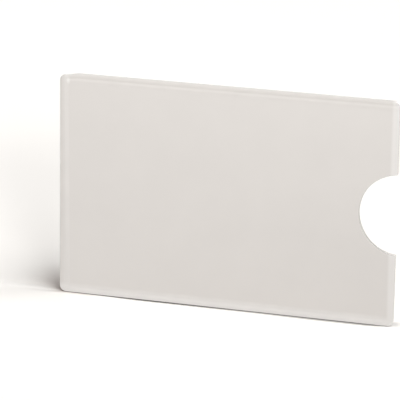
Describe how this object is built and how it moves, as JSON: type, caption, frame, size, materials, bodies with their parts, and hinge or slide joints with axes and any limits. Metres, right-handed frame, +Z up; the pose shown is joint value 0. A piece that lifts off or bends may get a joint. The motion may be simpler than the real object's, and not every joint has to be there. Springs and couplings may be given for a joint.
{
  "type": "card sleeve",
  "caption": "Flat welded film sleeve that shields a contactless card, open at one short end with a half-round thumb notch.",
  "frame": {"origin": "middle of the lower long edge that the sleeve stands on", "axes": "+X along the sleeve from the closed end to the open mouth, +Y through its thickness from the front wall to the rear wall, +Z up along its height"},
  "size_m": [0.0904, 0.0014, 0.06],
  "materials": {
    "frosted_polypropylene": "frosted film",
    "fused_polypropylene": "satin, melted and pressed",
    "metallised_film": "satin foil"
  },
  "bodies": {
    "root": {"front_panel": "frosted_polypropylene", "rear_panel": "frosted_polypropylene", "front_shield_film": "metallised_film", "rear_shield_film": "metallised_film", "top_weld_seam": "fused_polypropylene", "bottom_weld_seam": "fused_polypropylene", "end_weld_seam": "fused_polypropylene"}
  },
  "joints": []
}
